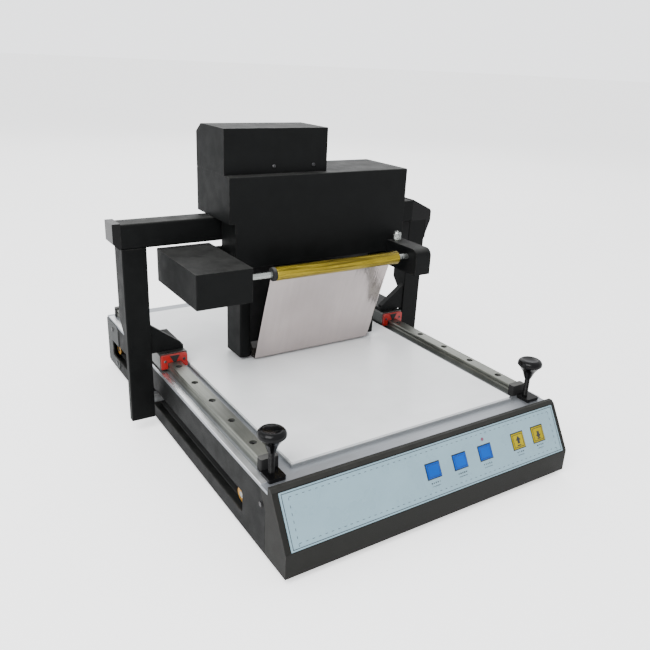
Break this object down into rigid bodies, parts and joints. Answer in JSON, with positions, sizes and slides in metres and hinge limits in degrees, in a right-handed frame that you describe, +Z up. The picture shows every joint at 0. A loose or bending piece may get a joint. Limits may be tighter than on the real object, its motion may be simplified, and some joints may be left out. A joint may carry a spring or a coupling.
{
  "type": "hot foil stamper",
  "caption": "Desktop flatbed hot foil printer: a gantry on guide rails carries a heated print head and its foil reels over a white platen.",
  "frame": {"origin": "on the table, under the middle of the machine", "axes": "+Z up, -Y towards the operator and the control panel, +X to the operator's right"},
  "size_m": [0.558, 0.6521, 0.445],
  "materials": {
    "black_casing": "satin black powder coat",
    "console_paint": "satin black powder coat",
    "deck_metal": "satin",
    "machined_aluminium": "machined",
    "block_steel": "blackened",
    "silicone_pad": "matt white silicone",
    "rail_steel": "ground",
    "screw_steel": "blackened",
    "shaft_steel": "turned",
    "black_rubber": "matt",
    "black_plastic": "moulded",
    "panel_print": "printed polyester",
    "blue_plastic": "moulded",
    "yellow_plastic": "moulded",
    "led_lens": "clear tinted",
    "board_laminate": "solder mask",
    "seal_red": "moulded",
    "trim_metal": "bright anodised",
    "plate_grey": "grey paint",
    "gold_foil": "metallised film",
    "film_carrier": "stripped metallised film",
    "ceramic_bar": "glazed",
    "heat_sink": "black anodised",
    "brass_pulley": "turned",
    "motor_black": "satin",
    "belt_rubber": "moulded teeth"
  },
  "bodies": {
    "base": {"base_screws": "screw_steel", "base_tray": "black_casing", "bearing_stands": "machined_aluminium", "circuit_boards": "board_laminate", "console_housing": "console_paint", "control_overlay": "panel_print", "deck_plate": "deck_metal", "edge_trims": "trim_metal", "gantry_belts": "belt_rubber", "gantry_motor": "motor_black", "gantry_rails": "rail_steel", "knob_blocks": "black_plastic", "platen": "machined_aluminium", "platen_pad": "silicone_pad", "power_inlet": "black_plastic", "power_led": "led_lens", "power_supply": "machined_aluminium", "rail_stops": "black_rubber", "rear_end_plates": "plate_grey", "rear_panel": "black_casing", "rubber_feet": "black_rubber", "side_panels": "black_casing"},
    "power_switch": {"power_switch": "black_plastic"},
    "left_knob": {"left_knob": "black_plastic"},
    "right_knob": {"right_knob": "black_plastic"},
    "blue_key_left": {"blue_key_left": "blue_plastic"},
    "blue_key_middle": {"blue_key_middle": "blue_plastic"},
    "blue_key_right": {"blue_key_right": "blue_plastic"},
    "yellow_key_left": {"yellow_key_left": "yellow_plastic"},
    "yellow_key_right": {"yellow_key_right": "yellow_plastic"},
    "drive_shaft": {"drive_pulleys": "brass_pulley", "drive_shaft": "shaft_steel"},
    "idler_shaft": {"idler_pulleys": "brass_pulley", "idler_shaft": "shaft_steel"},
    "gantry": {"beam_end_caps": "black_plastic", "bearing_blocks": "block_steel", "bearing_end_seals": "seal_red", "belt_clamps": "machined_aluminium", "crossbeam": "black_casing", "head_motor": "motor_black", "head_rail": "rail_steel", "left_leg": "black_casing", "leg_brackets": "black_casing", "right_leg": "black_casing"},
    "head_screw": {"head_screw": "shaft_steel"},
    "head": {"head_carriage": "machined_aluminium", "head_lower_cover": "black_casing", "head_screws": "shaft_steel", "head_upper_cover": "black_casing", "lift_motors": "motor_black", "right_arm": "black_casing", "winder_box": "black_casing", "winder_motor": "motor_black"},
    "printhead": {"film_web": "film_carrier", "printhead_block": "heat_sink", "printhead_side_plates": "black_casing", "thermal_bar": "ceramic_bar"},
    "take_up_reel": {"foil_roll": "gold_foil", "take_up_shaft": "shaft_steel"},
    "supply_reel": {"supply_reel": "gold_foil"}
  },
  "joints": [
    {"name": "gantry_slide", "type": "slide", "parent": "base", "child": "gantry", "axis": [0, 1, 0], "range_m": [-0.255, 0.165]},
    {"name": "head_slide", "type": "slide", "parent": "gantry", "child": "head", "axis": [1, 0, 0], "range_m": [-0.015, 0.04]},
    {"name": "printhead_lift", "type": "slide", "parent": "head", "child": "printhead", "axis": [0, 0, 1], "range_m": [-0.003, 0.006]},
    {"name": "take_up_spin", "type": "hinge", "parent": "head", "child": "take_up_reel", "pos_m": [0, -0.043, 0.258], "axis": [1, 0, 0], "continuous": true},
    {"name": "supply_spin", "type": "hinge", "parent": "head", "child": "supply_reel", "pos_m": [0.016, 0.035, 0.28], "axis": [1, 0, 0], "continuous": true},
    {"name": "head_screw_spin", "type": "hinge", "parent": "gantry", "child": "head_screw", "pos_m": [0, 0.113, 0.291], "axis": [1, 0, 0], "range_deg": [-680, 1805]},
    {"name": "drive_shaft_spin", "type": "hinge", "parent": "base", "child": "drive_shaft", "pos_m": [0, 0.29, 0.0415], "axis": [1, 0, 0], "range_deg": [-1085, 1675]},
    {"name": "idler_shaft_spin", "type": "hinge", "parent": "base", "child": "idler_shaft", "pos_m": [0, -0.205, 0.0415], "axis": [1, 0, 0], "range_deg": [-1085, 1675]},
    {"name": "left_knob_turn", "type": "hinge", "parent": "base", "child": "left_knob", "pos_m": [-0.2068, -0.2555, 0.12], "axis": [0, 0, 1], "continuous": true},
    {"name": "right_knob_turn", "type": "hinge", "parent": "base", "child": "right_knob", "pos_m": [0.2068, -0.2555, 0.12], "axis": [0, 0, 1], "continuous": true},
    {"name": "power_switch_rock", "type": "hinge", "parent": "base", "child": "power_switch", "pos_m": [-0.131, 0.322, 0.052], "axis": [0, 0, 1], "range_deg": [0, 12]},
    {"name": "blue_key_left_press", "type": "slide", "parent": "base", "child": "blue_key_left", "axis": [0, 0.865, -0.5019], "range_m": [0, 0.0007], "stiffness_N_per_m": 400},
    {"name": "blue_key_middle_press", "type": "slide", "parent": "base", "child": "blue_key_middle", "axis": [0, 0.865, -0.5019], "range_m": [0, 0.0007], "stiffness_N_per_m": 400},
    {"name": "blue_key_right_press", "type": "slide", "parent": "base", "child": "blue_key_right", "axis": [0, 0.865, -0.5019], "range_m": [0, 0.0007], "stiffness_N_per_m": 400},
    {"name": "yellow_key_left_press", "type": "slide", "parent": "base", "child": "yellow_key_left", "axis": [0, 0.865, -0.5019], "range_m": [0, 0.0007], "stiffness_N_per_m": 400},
    {"name": "yellow_key_right_press", "type": "slide", "parent": "base", "child": "yellow_key_right", "axis": [0, 0.865, -0.5019], "range_m": [0, 0.0007], "stiffness_N_per_m": 400}
  ],
  "couplings": [
    {"joint": "head_screw_spin", "follows": "head_slide", "rad_per_m": 785.4},
    {"joint": "drive_shaft_spin", "follows": "gantry_slide", "rad_per_m": -114.29},
    {"joint": "idler_shaft_spin", "follows": "gantry_slide", "rad_per_m": -114.29}
  ]
}
